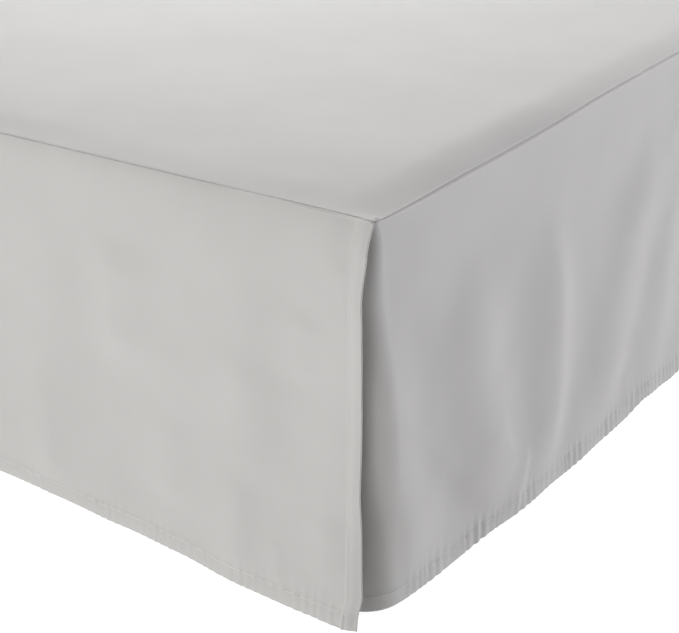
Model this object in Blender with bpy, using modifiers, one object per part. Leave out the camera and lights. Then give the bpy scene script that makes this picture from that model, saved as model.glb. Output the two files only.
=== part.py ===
"""Tailored bed skirt with split corners, lying on a plain box spring and steel bed frame.

Queen size, in metres, +Z up. The origin is on the floor, under the middle of the whole part.
The foot of the bed points along -Y and the head, where the skirt is open, along +Y.
"""

import math
from collections import namedtuple

import bmesh
import bpy
from mathutils import Vector

# ---------------------------------------------------------------- driving dimensions
BED_WIDTH = 1.524            # standard queen, seam to seam across the deck
BED_LENGTH = 2.032           # foot seam to head edge
SKIRT_DROP = 0.406           # seam to hem
HEM_ABOVE_FLOOR = 0.008
FLARE_SHIFT = 0.012          # the foot panel flares, so the bed stands this far towards the head

CLOTH = 0.0012               # one layer of cloth
HEM_CLOTH = 0.0022           # cloth turned and sewn at a hem
HEM_WIDTH = 0.018            # bottom hems
EDGE_HEM_WIDTH = 0.0125      # vertical hems and the deck's head hem
HEM_STEP = 0.0015            # length over which a hem's edge steps down to one layer
SEAM_GAP = 0.0011            # deck edge to panel top, along the drop
LAY_GAP = 0.0003             # between pieces that touch

SOFT_ROLL = 0.080            # the deck starts to dip this far inside its seam
SOFT_DIP = 0.004             # by this much at the seam
EDGE_ROLL = 0.014            # then it rolls over the edge within this distance
EDGE_TURN = 0.9              # share of the quarter turn made before the seam
CORNER_ZONE = 0.055          # square in which the deck's foot corners are rounded
CORNER_CUT = 0.003           # how far a rounded corner stays inside the square one
CORNER_FADE = 0.040          # depth below the seam at which the panels no longer follow it

RETURN_LENGTH = 0.095        # a side panel's end behind the foot panel
RETURN_INSET = 0.0023        # seam line of that end, behind the foot panel's
FOOT_EDGE_INSET = 0.0025     # the foot panel's vertical edges, inside the sides' planes

BOX_INSET = 0.0060           # box spring side to the cloth's plane
BOX_HEIGHT = 0.230
BOX_CORNER = 0.030           # radius of the box spring's upright edges
BOX_LOWER_BEVEL = 0.008

RAIL_HEIGHT = 0.040
RAIL_WIDTH = 0.030
RAIL_INSET = 0.040           # rail's outer face inside the box spring's side
RAIL_BEVEL = 0.003
LEG_RADIUS = 0.016
GLIDE_RADIUS = 0.026
GLIDE_HEIGHT = 0.010
LEG_SIDES = 12
LEG_END_INSET = 0.110        # end legs and end cross bars, inside the box spring's ends

# ---------------------------------------------------------------- worked-out places
SIDE_X = BED_WIDTH / 2
FOOT_Y = -BED_LENGTH / 2 + FLARE_SHIFT
HEAD_Y = BED_LENGTH / 2 + FLARE_SHIFT
HEAD_EDGE_INSET = 0.008
HEAD_EDGE_Y = HEAD_Y - HEAD_EDGE_INSET
SEAM_Z = HEM_ABOVE_FLOOR + SKIRT_DROP
PANEL_TOP_Z = SEAM_Z - SEAM_GAP
PANEL_DROP = SKIRT_DROP - SEAM_GAP

# ---------------------------------------------------------------- short shape tables
# A fold is a low ridge that runs down a panel. Lengths along a panel start at its foot corner.
#   at_seam, at_hem  where the ridge would meet the seam and the hem
#   bow              how far its middle swings away from the corner
#   starts           depth below the seam where it begins to show
#   height           height of the ridge
#   near, far        half widths on the corner's side and on the other side
Fold = namedtuple("Fold", "at_seam at_hem bow starts height near far")

RIGHT_FOLDS = [
    Fold(0.045, 0.135, 0.000, 0.070, 0.0045, 0.034, 0.040),
    Fold(0.258, 0.285, -0.003, 0.090, 0.0050, 0.046, 0.024),
    Fold(0.394, 0.357, 0.018, 0.080, 0.0060, 0.022, 0.040),
    Fold(0.750, 0.483, -0.008, 0.060, 0.0060, 0.040, 0.040),
    Fold(0.705, 0.655, 0.000, 0.150, 0.0040, 0.028, 0.042),
    Fold(0.842, 0.815, 0.010, 0.080, 0.0050, 0.046, 0.050),
    Fold(0.955, 0.985, -0.006, 0.120, 0.0040, 0.036, 0.056),
    Fold(1.160, 1.100, 0.012, 0.070, 0.0060, 0.050, 0.044),
    Fold(1.265, 1.255, 0.000, 0.130, 0.0040, 0.040, 0.050),
    Fold(1.405, 1.450, 0.008, 0.060, 0.0055, 0.044, 0.056),
    Fold(1.600, 1.570, -0.006, 0.110, 0.0045, 0.040, 0.044),
    Fold(1.735, 1.755, 0.000, 0.080, 0.0055, 0.050, 0.046),
    Fold(1.905, 1.890, 0.004, 0.100, 0.0040, 0.040, 0.040),
]
LEFT_FOLDS = [
    Fold(0.060, 0.120, 0.004, 0.080, 0.0045, 0.036, 0.040),
    Fold(0.230, 0.215, 0.008, 0.100, 0.0050, 0.040, 0.036),
    Fold(0.330, 0.375, -0.006, 0.070, 0.0055, 0.034, 0.044),
    Fold(0.520, 0.500, 0.006, 0.120, 0.0040, 0.044, 0.040),
    Fold(0.610, 0.700, 0.010, 0.060, 0.0060, 0.046, 0.050),
    Fold(0.860, 0.845, -0.004, 0.100, 0.0045, 0.040, 0.050),
    Fold(1.010, 1.040, 0.006, 0.080, 0.0055, 0.050, 0.044),
    Fold(1.230, 1.190, 0.000, 0.110, 0.0045, 0.040, 0.048),
    Fold(1.350, 1.375, -0.008, 0.070, 0.0055, 0.050, 0.050),
    Fold(1.560, 1.530, 0.006, 0.120, 0.0040, 0.040, 0.050),
    Fold(1.700, 1.710, 0.000, 0.080, 0.0055, 0.048, 0.044),
    Fold(1.880, 1.900, 0.004, 0.110, 0.0040, 0.040, 0.040),
]
# The foot panel hangs almost flat. Its folds are measured from the right-hand corner.
FOOT_FOLDS = [
    Fold(0.110, 0.165, 0.010, 0.060, 0.0020, 0.036, 0.040),
    Fold(0.100, 0.300, 0.000, 0.050, 0.0022, 0.034, 0.040),
    Fold(0.330, 0.300, 0.006, 0.100, 0.0018, 0.040, 0.040),
    Fold(0.440, 0.460, 0.000, 0.120, 0.0025, 0.046, 0.050),
    Fold(0.640, 0.610, 0.008, 0.080, 0.0026, 0.050, 0.056),
    Fold(0.790, 0.830, 0.000, 0.100, 0.0022, 0.050, 0.050),
    Fold(0.990, 0.960, -0.006, 0.090, 0.0028, 0.056, 0.050),
    Fold(1.150, 1.180, 0.004, 0.110, 0.0022, 0.046, 0.056),
    Fold(1.330, 1.300, 0.000, 0.070, 0.0028, 0.044, 0.050),
    Fold(1.440, 1.420, 0.004, 0.080, 0.0020, 0.036, 0.036),
]

# How far the hem stands out from the seam's plane, along each panel from its foot corner.
Flare = namedtuple("Flare", "along out")

RIGHT_FLARE = [
    Flare(0.000, 0.006), Flare(0.042, 0.008), Flare(0.110, 0.014), Flare(0.200, 0.022),
    Flare(0.300, 0.029), Flare(0.400, 0.035), Flare(0.500, 0.039), Flare(0.600, 0.042),
    Flare(0.680, 0.045), Flare(0.820, 0.040), Flare(1.000, 0.034), Flare(1.250, 0.036),
    Flare(1.500, 0.030), Flare(1.750, 0.032), Flare(2.032, 0.024),
]
LEFT_FLARE = [
    Flare(0.000, 0.006), Flare(0.060, 0.010), Flare(0.180, 0.020), Flare(0.380, 0.030),
    Flare(0.600, 0.041), Flare(0.760, 0.043), Flare(1.000, 0.036), Flare(1.300, 0.032),
    Flare(1.600, 0.034), Flare(2.032, 0.024),
]
FOOT_FLARE = [
    Flare(0.000, 0.020), Flare(0.040, 0.025), Flare(0.140, 0.023), Flare(0.220, 0.014),
    Flare(0.300, 0.008), Flare(0.400, 0.003), Flare(0.500, 0.000), Flare(0.700, 0.004),
    Flare(0.950, 0.007), Flare(1.200, 0.010), Flare(1.380, 0.020), Flare(1.480, 0.024),
    Flare(1.524, 0.019),
]

# Radius in which a side panel rounds its foot corner, by depth below the seam.
Wrap = namedtuple("Wrap", "depth radius")
CORNER_WRAP = [
    Wrap(0.000, 0.006), Wrap(0.030, 0.013), Wrap(0.100, 0.021), Wrap(0.200, 0.034),
    Wrap(0.300, 0.048), Wrap(SKIRT_DROP, 0.060),
]
HANG_POWER = 1.15            # above 1 a panel leaves its seam upright and spreads lower down
FOLD_GROWTH = 0.110          # depth over which a fold grows to its height
RETURN_FLARE = 0.003         # how far the hidden end's hem stands out under the foot panel
RETURN_EASE = 0.030          # the side's seam line eases back to its plane over this length

# The foot panel's vertical edges are pushed out by the cloth behind them, most near the top.
Kick = namedtuple("Kick", "depth out")
EDGE_KICK = [
    Kick(0.000, 0.0000), Kick(0.030, 0.0065), Kick(0.070, 0.0135), Kick(0.130, 0.0100),
    Kick(0.200, 0.0055), Kick(0.260, 0.0045), Kick(0.330, -0.0020), Kick(0.385, -0.0025),
    Kick(SKIRT_DROP, 0.0000),
]
KICK_WIDTH = 0.034           # the push fades over this length of the foot panel

# The box spring's padded top edge: rings inside its outline and their depth below its flat top.
Ring = namedtuple("Ring", "inset depth")
BOX_RINGS = [
    Ring(0.003, 0.0140), Ring(0.008, 0.0092), Ring(0.016, 0.0064),
    Ring(0.032, 0.0036), Ring(0.060, 0.0008), Ring(0.090, 0.0000),
]
BOX_SHOULDER = 0.026         # top of the box spring's upright sides, below its flat top

# ---------------------------------------------------------------- mesh spacing
PANEL_ROWS = [0.000, 0.014, 0.034, 0.065, 0.105, 0.150, 0.200, 0.250, 0.300, 0.345]
ROLL_STEPS = [0.000, 0.003, 0.007, 0.014, 0.025, 0.045, SOFT_ROLL]
DECK_STEP = 0.27             # across the deck's flat middle
FINE_STEP = 0.028            # along the right side's stretch nearest the foot
FOOT_FINE_STEP = 0.036       # along the foot panel's stretch nearest its right corner
COARSE_STEP = 0.045
FINE_LENGTH = 0.70
FOOT_EDGE_STEPS = [EDGE_HEM_WIDTH + HEM_STEP, 0.024, 0.040]
RETURN_STATIONS = 3
ARC_STATIONS = 5
NEAR_STATIONS = 2
NEAR_CORNER = 0.090          # the side's first stretch, whose stations fan out down the drop


# ---------------------------------------------------------------- small helpers
def smooth(t):
    t = min(max(t, 0.0), 1.0)
    return t * t * (3.0 - 2.0 * t)


def along(rows, x):
    """Read a two-column table at x, easing between its rows."""
    if x <= rows[0][0]:
        return rows[0][1]
    for low, high in zip(rows, rows[1:]):
        if x <= high[0]:
            share = (x - low[0]) / (high[0] - low[0])
            ease = 0.5 * share + 0.5 * smooth(share)
            return low[1] + (high[1] - low[1]) * ease
    return rows[-1][1]


def steps(start, end, size):
    """Evenly spaced values from start to end, about size apart, without the start."""
    count = max(1, round((end - start) / size))
    return [start + (end - start) * (n + 1) / count for n in range(count)]


def fold_height(folds, distance, depth):
    """Height of all folds at a place on a panel."""
    share = depth / SKIRT_DROP
    total = 0.0
    for fold in folds:
        crest = fold.at_seam + (fold.at_hem - fold.at_seam) * share + fold.bow * 4 * share * (1 - share)
        width = fold.near if distance < crest else fold.far
        grow = smooth((depth - fold.starts) / FOLD_GROWTH)
        total += fold.height * grow * math.exp(-(((distance - crest) / width) ** 2))
    return total


def hang(depth):
    """How much of the hem's flare a panel has at a depth below its seam."""
    return (depth / SKIRT_DROP) ** HANG_POWER


# ---------------------------------------------------------------- materials and collections
def material(name, colour, roughness, metallic=0.0):
    mat = bpy.data.materials.new(name)
    mat.use_nodes = True
    shader = mat.node_tree.nodes["Principled BSDF"]
    shader.inputs["Base Color"].default_value = (*colour, 1.0)
    shader.inputs["Roughness"].default_value = roughness
    shader.inputs["Metallic"].default_value = metallic
    mat.diffuse_color = (*colour, 1.0)
    return mat


def clear_scene():
    for item in list(bpy.data.objects):
        bpy.data.objects.remove(item, do_unlink=True)


def new_collection(name):
    collection = bpy.data.collections.new(name)
    bpy.context.scene.collection.children.link(collection)
    return collection


def add_object(name, mesh, mat, collection):
    item = bpy.data.objects.new(name, mesh)
    item.data.materials.append(mat)
    collection.objects.link(item)
    return item


# ---------------------------------------------------------------- cloth
def cloth_sheet(name, columns, rows, place, hem_share, mat, collection):
    """A grid of columns by rows, each point moved to place(column, row), thickened to cloth.

    hem_share(column, row) is 1 where the cloth is turned into a hem and 0 where it is single.
    """
    bm = bmesh.new()
    bmesh.ops.create_grid(bm, x_segments=len(columns) - 1, y_segments=len(rows) - 1, size=1.0)
    weights = []
    for vert in bm.verts:
        column = columns[round((vert.co.x + 1) / 2 * (len(columns) - 1))]
        row = rows[round((vert.co.y + 1) / 2 * (len(rows) - 1))]
        vert.co = place(column, row)
        weights.append(hem_share(column, row))
    mesh = bpy.data.meshes.new(name)
    bm.to_mesh(mesh)
    bm.free()
    mesh.shade_smooth()
    sheet = add_object(name, mesh, mat, collection)
    hem = sheet.vertex_groups.new(name="hem")
    for index, weight in enumerate(weights):
        hem.add([index], weight, "REPLACE")
    solid = sheet.modifiers.new("Cloth thickness", "SOLIDIFY")
    solid.thickness = HEM_CLOTH
    solid.offset = 0.0
    solid.use_even_offset = True
    solid.vertex_group = hem.name
    solid.thickness_vertex_group = CLOTH / HEM_CLOTH
    return sheet


def roll_drop(inside):
    """How far the deck lies below its flat top, at a distance inside the seam."""
    dip = SOFT_DIP * max(0.0, 1.0 - inside / SOFT_ROLL) ** 2
    turn = EDGE_TURN * max(0.0, 1.0 - inside / EDGE_ROLL)
    return dip + EDGE_ROLL * (1.0 - math.sqrt(1.0 - turn * turn))


FULL_ROLL = roll_drop(0.0)
DECK_TOP_Z = SEAM_Z + FULL_ROLL + CLOTH / 2


def round_foot_corner(x, y):
    """Move a point of the deck's outline square to the one with rounded foot corners."""
    across = 1.0 - (SIDE_X - abs(x)) / CORNER_ZONE
    back = 1.0 - (y - FOOT_Y) / CORNER_ZONE
    if across <= 0.0 or back <= 0.0:
        return x, y
    cut = 1.0 - (1.0 - CORNER_CUT / CORNER_ZONE) ** 2
    new_across = across * math.sqrt(1.0 - cut * back * back)
    new_back = back * math.sqrt(1.0 - cut * across * across)
    new_x = SIDE_X - CORNER_ZONE * (1.0 - new_across)
    return math.copysign(new_x, x), FOOT_Y + CORNER_ZONE * (1.0 - new_back)


def follow_corner(x, y, out_x, out_y, depth):
    """Bend a panel near its seam round the deck's foot corner. out_* is its distance from the bed."""
    round_x, round_y = round_foot_corner(x, y)
    near_seam = 1.0 - smooth(depth / CORNER_FADE)
    new_x = x + (round_x - x) * near_seam + out_x
    return Vector((new_x, y + (round_y - y) * near_seam - out_y, PANEL_TOP_Z - depth))


def deck_point(x, y):
    at_side = roll_drop(SIDE_X - abs(x)) / FULL_ROLL
    at_end = roll_drop(min(y - FOOT_Y, HEAD_Y - y)) / FULL_ROLL
    drop = FULL_ROLL * (at_side + at_end - at_side * at_end)
    round_x, round_y = round_foot_corner(x, y)
    return Vector((round_x, round_y, SEAM_Z + FULL_ROLL - drop))


def deck(mat, collection):
    """The platform sheet, rolled over the box spring's edges, with a hem at the head."""
    half = [SIDE_X - inside for inside in ROLL_STEPS]
    middle = steps(-half[-1], half[-1], DECK_STEP)
    columns = sorted([-x for x in half] + middle[:-1] + half)
    foot_rows = [FOOT_Y + inside for inside in ROLL_STEPS]
    hem_edge = HEAD_EDGE_Y - EDGE_HEM_WIDTH
    head_rows = [HEAD_Y - SOFT_ROLL, HEAD_Y - ROLL_STEPS[-2], hem_edge - HEM_STEP, hem_edge, HEAD_EDGE_Y]
    middle_rows = steps(foot_rows[-1], head_rows[0], DECK_STEP)[:-1]
    rows = foot_rows + middle_rows + head_rows

    def hem_share(x, y):
        return 1.0 if y >= hem_edge else 0.0

    return cloth_sheet("skirt_deck", columns, rows, deck_point, hem_share, mat, collection)


def panel_rows():
    hem_edge = PANEL_DROP - HEM_WIDTH
    return PANEL_ROWS + [hem_edge - HEM_STEP, hem_edge, PANEL_DROP]


def is_bottom_hem(depth):
    return depth >= PANEL_DROP - HEM_WIDTH


def side_panel_point(folds, flare, station, depth):
    """A point of the right-hand side panel.

    Station 0 to 1 is the hidden end behind the foot panel, 1 to 2 the rounded corner,
    2 to 3 the first stretch of the side, and past 3 each unit is a metre along the side.
    """
    radius = along(CORNER_WRAP, depth)
    share = hang(depth)
    inset = RETURN_INSET * (1.0 - share)
    near_out = along(flare, radius) * share + fold_height(folds, radius, depth) - inset
    return_y = FOOT_Y + inset - RETURN_FLARE * share
    centre_x = SIDE_X + near_out - radius
    centre_y = return_y + radius
    if station <= 1.0:
        end_x = SIDE_X - RETURN_LENGTH
        return follow_corner(end_x + (centre_x - end_x) * station, return_y, 0.0, 0.0, depth)
    if station <= 2.0:
        angle = math.radians(90.0) * (2.0 - station)
        x = centre_x + radius * math.cos(angle)
        return follow_corner(x, centre_y - radius * math.sin(angle), 0.0, 0.0, depth)
    start = centre_y - FOOT_Y
    distance = start + (NEAR_CORNER - start) * (station - 2.0)
    if station > 3.0:
        distance = NEAR_CORNER + station - 3.0
    ease = RETURN_INSET * (1.0 - share) * (1.0 - smooth((distance - start) / RETURN_EASE))
    out = along(flare, distance) * share + fold_height(folds, distance, depth) - ease
    return follow_corner(SIDE_X, FOOT_Y + distance, out, 0.0, depth)


def side_panel(name, side, folds, flare, mat, collection):
    """One long panel: hidden end, rounded corner and the run to the head. side is 1 or -1."""
    hem_station = EDGE_HEM_WIDTH / RETURN_LENGTH
    stations = [0.0, hem_station] + steps(hem_station, 1.0, 1.0 / RETURN_STATIONS)
    stations += steps(1.0, 2.0, 1.0 / ARC_STATIONS) + steps(2.0, 3.0, 1.0 / NEAR_STATIONS)
    run = HEAD_EDGE_Y - FOOT_Y - NEAR_CORNER
    fine_run = FINE_LENGTH - NEAR_CORNER
    fine = steps(0.0, fine_run, FINE_STEP if side > 0 else COARSE_STEP)
    coarse = steps(fine_run, run - EDGE_HEM_WIDTH, COARSE_STEP)
    stations += [3.0 + d for d in fine + coarse + [run]]
    last_hem = 3.0 + run - EDGE_HEM_WIDTH

    def place(station, depth):
        point = side_panel_point(folds, flare, station, depth)
        return Vector((point.x * side, point.y, point.z))

    def hem_share(station, depth):
        at_end = station <= hem_station or station >= last_hem
        return 1.0 if at_end or is_bottom_hem(depth) else 0.0

    return cloth_sheet(name, stations, panel_rows(), place, hem_share, mat, collection)


def foot_panel_point(x, depth):
    """A point of the foot panel. Its top follows the deck's seam round the corners."""
    from_right = SIDE_X - x
    edge_gap = SIDE_X - FOOT_EDGE_INSET - abs(x)
    kick = along(EDGE_KICK, depth) * (1.0 - smooth(edge_gap / KICK_WIDTH))
    out = along(FOOT_FLARE, from_right) * hang(depth) + kick
    out += fold_height(FOOT_FOLDS, from_right, depth)
    return follow_corner(x, FOOT_Y, 0.0, out, depth)


def foot_panel(mat, collection):
    edge = SIDE_X - FOOT_EDGE_INSET
    near = [0.0, EDGE_HEM_WIDTH] + FOOT_EDGE_STEPS
    left = [-edge + d for d in near]
    right = [edge - d for d in near]
    fine_from = right[-1] - FINE_LENGTH
    fine = steps(fine_from, right[-1], FOOT_FINE_STEP)
    coarse = steps(left[-1], fine_from, COARSE_STEP)
    columns = sorted(left + coarse + fine[:-1] + right)

    def hem_share(x, depth):
        at_edge = abs(x) >= edge - EDGE_HEM_WIDTH - 1e-6
        return 1.0 if at_edge or is_bottom_hem(depth) else 0.0

    return cloth_sheet("skirt_foot_panel", columns, panel_rows(), foot_panel_point, hem_share,
                       mat, collection)


# ---------------------------------------------------------------- bed under the cloth
BOX_TOP_Z = DECK_TOP_Z - CLOTH - LAY_GAP
BOX_BOTTOM_Z = BOX_TOP_Z - BOX_HEIGHT
RAIL_TOP_Z = BOX_BOTTOM_Z - LAY_GAP
RAIL_BOTTOM_Z = RAIL_TOP_Z - RAIL_HEIGHT
RAIL_X = SIDE_X - BOX_INSET - RAIL_INSET - RAIL_WIDTH / 2
BED_Y = (FOOT_Y + HEAD_Y) / 2
END_BAR_Y = BED_LENGTH / 2 - LEG_END_INSET


def block(name, low, high, bevel, mat, collection):
    """An upright box between two corners, with bevelled edges."""
    bm = bmesh.new()
    bmesh.ops.create_cube(bm, size=1.0)
    for vert in bm.verts:
        vert.co = Vector([low[a] if vert.co[a] < 0 else high[a] for a in range(3)])
    mesh = bpy.data.meshes.new(name)
    bm.to_mesh(mesh)
    bm.free()
    item = add_object(name, mesh, mat, collection)
    edge = item.modifiers.new("Rounded edges", "BEVEL")
    edge.width = bevel
    edge.segments = 2
    return item


def box_spring(mat, collection):
    """Upholstered box with rounded upright edges and a soft roll round its flat top."""
    bm = bmesh.new()
    bmesh.ops.create_cube(bm, size=1.0)
    half = Vector((SIDE_X - BOX_INSET, BED_LENGTH / 2 - BOX_INSET, 0.0))
    for vert in bm.verts:
        z = BOX_BOTTOM_Z if vert.co.z < 0 else BOX_TOP_Z - BOX_SHOULDER
        vert.co = Vector((math.copysign(half.x, vert.co.x), BED_Y + math.copysign(half.y, vert.co.y), z))
    upright = [e for e in bm.edges if abs(e.verts[0].co.z - e.verts[1].co.z) > BOX_LOWER_BEVEL]
    bmesh.ops.bevel(bm, geom=upright, offset=BOX_CORNER, segments=4, profile=0.5, affect="EDGES")
    bottom = [e for e in bm.edges if max(v.co.z for v in e.verts) < BOX_BOTTOM_Z + 1e-5]
    bmesh.ops.bevel(bm, geom=bottom, offset=BOX_LOWER_BEVEL, segments=2, profile=0.5, affect="EDGES")
    top = max(bm.faces, key=lambda face: face.calc_center_median().z)
    outline = [vert.co.copy() for vert in top.verts]
    for ring in BOX_RINGS:
        bmesh.ops.inset_individual(bm, faces=[top], thickness=0.0)
        shrink = Vector((1.0 - ring.inset / half.x, 1.0 - ring.inset / half.y))
        for vert, edge in zip(top.verts, outline):
            y = BED_Y + (edge.y - BED_Y) * shrink.y
            vert.co = Vector((edge.x * shrink.x, y, BOX_TOP_Z - ring.depth))
    mesh = bpy.data.meshes.new("box_spring")
    bm.to_mesh(mesh)
    bm.free()
    return add_object("box_spring", mesh, mat, collection)


def rails(mat, collection):
    length = BED_LENGTH / 2 - BOX_INSET - RAIL_INSET
    for name, side in (("rail_right", 1), ("rail_left", -1)):
        low = (side * RAIL_X - RAIL_WIDTH / 2, BED_Y - length, RAIL_BOTTOM_Z)
        high = (side * RAIL_X + RAIL_WIDTH / 2, BED_Y + length, RAIL_TOP_Z)
        block(name, low, high, RAIL_BEVEL, mat, collection)


def bar_places():
    return (("foot", BED_Y - END_BAR_Y), ("middle", BED_Y), ("head", BED_Y + END_BAR_Y))


def cross_bars(mat, collection):
    half = RAIL_X - RAIL_WIDTH / 2 - LAY_GAP
    for place, y in bar_places():
        low = (-half, y - RAIL_WIDTH / 2, RAIL_BOTTOM_Z)
        high = (half, y + RAIL_WIDTH / 2, RAIL_TOP_Z)
        block("cross_bar_" + place, low, high, RAIL_BEVEL, mat, collection)


def leg(name, x, y, mat, collection):
    """A turned leg with a wider glide, standing on the floor."""
    top = RAIL_BOTTOM_Z - LAY_GAP
    outline = [(0.0, top), (LEG_RADIUS, top), (LEG_RADIUS, GLIDE_HEIGHT + 0.004),
               (GLIDE_RADIUS, GLIDE_HEIGHT), (GLIDE_RADIUS, 0.002), (GLIDE_RADIUS - 0.002, 0.0), (0.0, 0.0)]
    bm = bmesh.new()
    verts = [bm.verts.new((r, 0.0, z)) for r, z in outline]
    for first, second in zip(verts, verts[1:]):
        bm.edges.new((first, second))
    mesh = bpy.data.meshes.new(name)
    bm.to_mesh(mesh)
    bm.free()
    item = add_object(name, mesh, mat, collection)
    item.location = (x, y, 0.0)
    turn = item.modifiers.new("Turned", "SCREW")
    turn.steps = LEG_SIDES
    turn.render_steps = LEG_SIDES
    turn.use_merge_vertices = True
    turn.merge_threshold = 0.0001
    return item


def legs(mat, collection):
    for row, y in bar_places():
        for place, x in (("left", -RAIL_X), ("centre", 0.0), ("right", RAIL_X)):
            leg("leg_" + row + "_" + place, x, y, mat, collection)


def main():
    clear_scene()
    parts = new_collection("Bed skirt on box spring")
    grey_cloth = material("Grey microfibre", (0.56, 0.55, 0.55), 0.85)
    ticking = material("Box spring ticking", (0.78, 0.76, 0.72), 0.9)
    steel = material("Painted steel", (0.06, 0.06, 0.065), 0.45, 0.3)
    deck(grey_cloth, parts)
    foot_panel(grey_cloth, parts)
    side_panel("skirt_side_right", 1, RIGHT_FOLDS, RIGHT_FLARE, grey_cloth, parts)
    side_panel("skirt_side_left", -1, LEFT_FOLDS, LEFT_FLARE, grey_cloth, parts)
    box_spring(ticking, parts)
    rails(steel, parts)
    cross_bars(steel, parts)
    legs(steel, parts)


main()
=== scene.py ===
"""Looks of a tailored bed skirt with split corners, on its box spring and steel bed frame.

Metres, +Z up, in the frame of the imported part: the origin is on the floor under the middle of the
bed, the foot of the bed points along -Y and the head, where the skirt is open, along +Y. Right is +X.
The camera stands off the foot's right-hand corner (+X, -Y). Four thin cloth pieces replace the
part's sheets. They share its seam lines and most of its folds, and seams, hems, stitches and
smaller creases are added.
"""

import math
from collections import namedtuple

import bmesh
import bpy
import numpy as np
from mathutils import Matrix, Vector


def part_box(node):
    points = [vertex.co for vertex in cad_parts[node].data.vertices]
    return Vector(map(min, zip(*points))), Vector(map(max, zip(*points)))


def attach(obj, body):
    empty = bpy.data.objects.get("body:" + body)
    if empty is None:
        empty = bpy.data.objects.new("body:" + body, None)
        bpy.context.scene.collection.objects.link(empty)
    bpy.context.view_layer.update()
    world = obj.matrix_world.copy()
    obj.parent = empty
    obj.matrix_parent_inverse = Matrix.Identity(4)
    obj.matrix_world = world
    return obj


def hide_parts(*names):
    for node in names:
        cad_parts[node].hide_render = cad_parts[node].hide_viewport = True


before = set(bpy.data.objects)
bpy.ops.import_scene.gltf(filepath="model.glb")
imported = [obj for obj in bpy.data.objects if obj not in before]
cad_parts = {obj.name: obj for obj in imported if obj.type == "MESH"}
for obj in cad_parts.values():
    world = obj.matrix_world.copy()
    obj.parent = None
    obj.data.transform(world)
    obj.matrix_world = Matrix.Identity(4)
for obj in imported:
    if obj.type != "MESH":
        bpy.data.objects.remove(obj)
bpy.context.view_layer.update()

# ---------------------------------------------------------------- sizes of the bed and its skirt
BED_WIDTH = 1.524            # standard queen, seam to seam across the deck
BED_LENGTH = 2.032           # foot seam to head edge
SKIRT_DROP = 0.406           # seam to hem
HEM_ABOVE_FLOOR = 0.008
FLARE_SHIFT = 0.012          # the foot panel flares, so the bed stands this far towards the head
HEM_WIDTH = 0.018            # bottom hems
EDGE_HEM_WIDTH = 0.0125      # vertical hems and the deck's head hem
SIDE_ROLL = 0.045            # the deck starts to dip this far inside its side seams and its head end
FOOT_ROLL = 0.200            # and this far inside its foot seam
SOFT_DIP = 0.0052            # by this much at the seam
EDGE_ROLL = 0.0007           # then it rolls over its edge with this radius
EDGE_DROP = 0.0004           # down by this much
CORNER_ZONE = 0.055          # square in which the deck's foot corners are rounded
CORNER_CUT = 0.003           # how far a rounded corner stays inside the square one
CORNER_LIMIT = 1.2           # past the seams by more than a fifth of the zone it bends no further
CORNER_FADE = 0.040          # depth below the seam at which the panels no longer follow it
RETURN_LENGTH = 0.095        # a side panel's end behind the foot panel
RETURN_INSET = 0.0023        # seam line of that end, behind the foot panel's
RETURN_EASE = 0.080          # the side's seam line eases back to its plane over this length
FOOT_EDGE_INSET = 0.0025     # the foot panel's vertical edges, inside the sides' planes
INSET_FADE = 0.030           # at the seam they reach the sides' planes, over this height and width
HEAD_EDGE_INSET = 0.008      # the deck and the side panels stop this far short of the head
HANG_POWER = 1.15            # above 1 a panel leaves its seam upright and spreads lower down
FOLD_GROWTH = 0.110          # depth over which a fold grows to its height
HEM_CALM = 0.72              # share of its height that a fold loses on its way to the hem
CALM_START = 0.78            # share of the drop at which that begins
KICK_WIDTH = 0.014           # EDGE_KICK fades over this length of the foot panel
NEAR_CORNER = 0.090          # end of the first stretch of a side panel, beside the corner
BOX_CORNER = 0.030           # radius of the box spring's upright edges

SIDE_X = BED_WIDTH / 2
FOOT_Y = -BED_LENGTH / 2 + FLARE_SHIFT
HEAD_Y = BED_LENGTH / 2 + FLARE_SHIFT
HEAD_EDGE_Y = HEAD_Y - HEAD_EDGE_INSET
DECK_LENGTH = HEAD_EDGE_Y - FOOT_Y
SEAM_Z = HEM_ABOVE_FLOOR + SKIRT_DROP

# ---------------------------------------------------------------- cloth, seam and stitch sizes
CLOTH = 0.0008               # one layer of microfibre
HEM_CLOTH = 0.0016           # turned and sewn
HEM_STEP = 0.0020            # a hem's inner edge steps down over this length
SEAM_LIP = 0.0004            # the deck turns in over this height above the seam
SEAM_SLIT = 0.00026          # half the slit between the two edges, inside the seam's groove
SEAM_SOFT = 0.0002           # how fast the panel comes out of the groove
STITCH_PITCH = 0.0030
STITCH_LENGTH = 0.0022
STITCH_RADIUS = 0.00040
STITCH_FLATNESS = 0.8        # a stitch's height by its width
STITCH_SIDES = 5
# (place along a stitch, share of its radius there)
STITCH_RINGS = ((0.0, 0.25), (0.2, 0.9), (0.8, 0.9), (1.0, 0.25))
HEM_STITCH_INSET = 0.0015    # stitches inside the inner edge of a bottom hem or of the head hem
EDGE_STITCH_INSET = 0.0012   # and inside that of a vertical hem
EDGE_STITCH_SINK = 0.0003    # the foot panel's vertical stitches are drawn in this much
HEM_STITCH_DEPTH = SKIRT_DROP - HEM_WIDTH + HEM_STITCH_INSET
EDGE_STITCH_GAP = EDGE_HEM_WIDTH - EDGE_STITCH_INSET
# Spacing of a side panel's mesh near the foot corner, further along, and down.
RIGHT_SPACING = (0.0030, 0.0090, 0.0040)
LEFT_SPACING = (0.0080, 0.0085, 0.0060)
FOOT_SPACING_DOWN = 0.0042
TINY = 1e-6                  # tolerance when a grid value is compared with a hem's edge

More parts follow.
